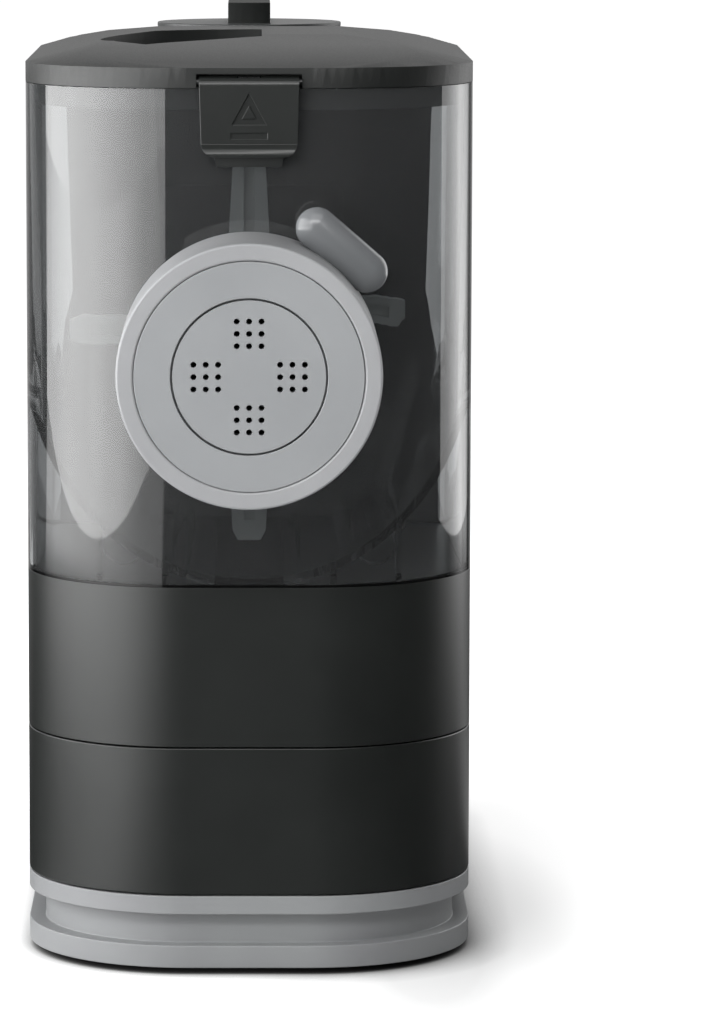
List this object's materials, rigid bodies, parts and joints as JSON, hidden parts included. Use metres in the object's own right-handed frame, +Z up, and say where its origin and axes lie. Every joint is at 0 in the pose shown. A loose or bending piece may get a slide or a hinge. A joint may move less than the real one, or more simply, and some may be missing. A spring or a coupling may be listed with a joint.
{
  "type": "electric pasta maker",
  "caption": "Narrow countertop pasta machine with a clear mixing chamber, hinged lid with latch, front locking ring over a shaping disc, storage drawer, dial and geared motor drive.",
  "frame": {"origin": "on the table, under the middle of the overall width and depth, ring included", "axes": "+X to the object's right as seen from its front, +Y to the back, +Z up; the front faces -Y"},
  "size_m": [0.135, 0.342, 0.283],
  "materials": {
    "grey_abs": "fine-textured moulded ABS",
    "light_grey_abs": "smooth moulded ABS",
    "lever_grey": "glossy moulded ABS",
    "black_abs": "satin moulded ABS",
    "lid_abs": "fine-textured moulded ABS",
    "dark_grey_abs": "moulded ABS",
    "smoked_clear": "clear smoked copolyester",
    "paddle_grey": "moulded polypropylene",
    "rubber_black": "moulded rubber",
    "steel": "plain steel",
    "black_steel": "blackened steel",
    "acetal": "moulded acetal",
    "bronze": "sintered bronze",
    "die_cast": "die-cast aluminium",
    "iron_core": "varnished laminations",
    "copper": "enamelled copper",
    "board_green": "solder mask",
    "part_black": "moulded epoxy"
  },
  "bodies": {
    "housing": {"base_tray": "grey_abs", "rubber_feet": "rubber_black", "base_screws": "steel", "main_housing": "black_abs", "rear_cover": "black_abs", "tower_back": "black_abs", "rear_screws": "black_steel", "tower_cover": "lid_abs", "drive_plate": "black_abs", "plate_screws": "black_steel", "cord_inlet": "rubber_black", "mixing_chamber": "smoked_clear", "chamber_seal": "rubber_black", "latch_keeper": "black_abs", "extrusion_tube": "dark_grey_abs", "shaping_disc": "light_grey_abs", "disc_seal": "rubber_black", "lid_hinge_pins": "steel", "rotary_switch": "part_black", "interlock_switch": "part_black", "output_bush": "bronze", "lay_axle": "steel", "gearbox_case": "die_cast", "gearbox_cover": "die_cast", "gearbox_screws": "steel", "stator": "iron_core", "field_coils": "copper", "motor_brackets": "die_cast", "motor_bearings": "steel", "motor_bolts": "steel", "brush_holders": "bronze", "motor_cradle": "dark_grey_abs", "control_board": "board_green", "board_parts": "part_black"},
    "lid": {"lid": "lid_abs", "lid_liner": "dark_grey_abs"},
    "latch": {"latch": "black_abs", "latch_pin": "steel", "latch_spring": "steel"},
    "locking_ring": {"lock_ring": "grey_abs", "ring_face": "light_grey_abs", "ring_sleeve": "dark_grey_abs", "ring_claws": "dark_grey_abs", "ring_lever": "lever_grey"},
    "drawer": {"drawer_front": "black_abs", "drawer_tray": "dark_grey_abs"},
    "dial": {"selector_dial": "dark_grey_abs", "dial_shaft": "steel"},
    "stirrer": {"auger": "paddle_grey", "mixing_paddle": "paddle_grey", "output_shaft": "steel", "output_gear": "acetal"},
    "lay_shaft_gears": {"lay_gears": "acetal"},
    "motor_rotor": {"motor_pinion": "bronze", "motor_shaft": "steel", "rotor": "iron_core", "commutator": "copper", "cooling_fan": "acetal"}
  },
  "joints": [
    {"name": "lid_hinge", "type": "hinge", "parent": "housing", "child": "lid", "pos_m": [0, 0.047, 0.2727], "axis": [-1, 0, 0], "range_deg": [0, 95]},
    {"name": "latch_pivot", "type": "hinge", "parent": "lid", "child": "latch", "pos_m": [0, -0.1236, 0.2663], "axis": [-1, 0, 0], "range_deg": [0, 25], "stiffness_Nm_per_rad": 0.02, "springref_deg": -5.73},
    {"name": "ring_turn", "type": "hinge", "parent": "housing", "child": "locking_ring", "pos_m": [0, -0.171, 0.1844], "axis": [0, -1, 0], "range_deg": [0, 45]},
    {"name": "drawer_slide", "type": "slide", "parent": "housing", "child": "drawer", "axis": [0, -1, 0], "range_m": [0, 0.14]},
    {"name": "dial_turn", "type": "hinge", "parent": "housing", "child": "dial", "pos_m": [0, 0.105, 0.2705], "axis": [0, 0, 1], "range_deg": [-60, 60]},
    {"name": "motor_spin", "type": "hinge", "parent": "housing", "child": "motor_rotor", "pos_m": [0, 0.095, 0.0944], "axis": [0, 1, 0], "continuous": true},
    {"name": "lay_spin", "type": "hinge", "parent": "housing", "child": "lay_shaft_gears", "pos_m": [0, 0.045, 0.1394], "axis": [0, 1, 0], "continuous": true},
    {"name": "stirrer_spin", "type": "hinge", "parent": "housing", "child": "stirrer", "pos_m": [0, -0.025, 0.1844], "axis": [0, 1, 0], "continuous": true}
  ],
  "couplings": [
    {"joint": "lay_spin", "follows": "stirrer_spin", "ratio": -3.2857},
    {"joint": "motor_spin", "follows": "stirrer_spin", "ratio": 16.429}
  ]
}
